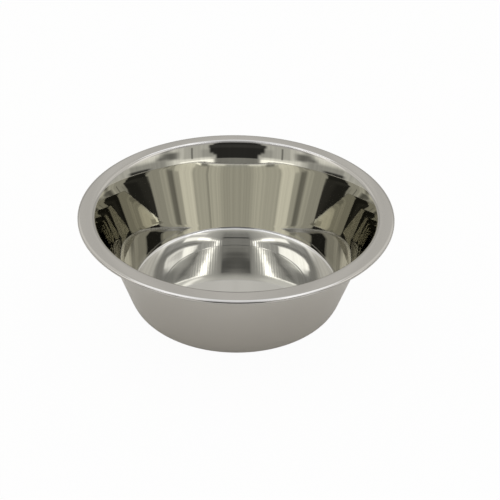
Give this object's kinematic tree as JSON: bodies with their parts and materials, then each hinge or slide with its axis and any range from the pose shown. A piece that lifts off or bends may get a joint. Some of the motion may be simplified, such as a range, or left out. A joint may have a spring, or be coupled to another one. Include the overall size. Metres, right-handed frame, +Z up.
{
  "type": "feeding bowl",
  "caption": "Round one-piece stainless steel pet feeding bowl with a straight tapered wall, a flat rim with a rolled edge and a flat base with a ring line.",
  "frame": {"origin": "centre of the flat underside, on the plane that the bowl stands on", "axes": "+Z up along the bowl's axis of revolution; the bowl is the same all round, so +X and +Y are any two directions across it"},
  "size_m": [0.21, 0.21, 0.0672],
  "materials": {
    "polished_stainless": "polished"
  },
  "bodies": {
    "root": {"bowl": "polished_stainless"}
  },
  "joints": []
}
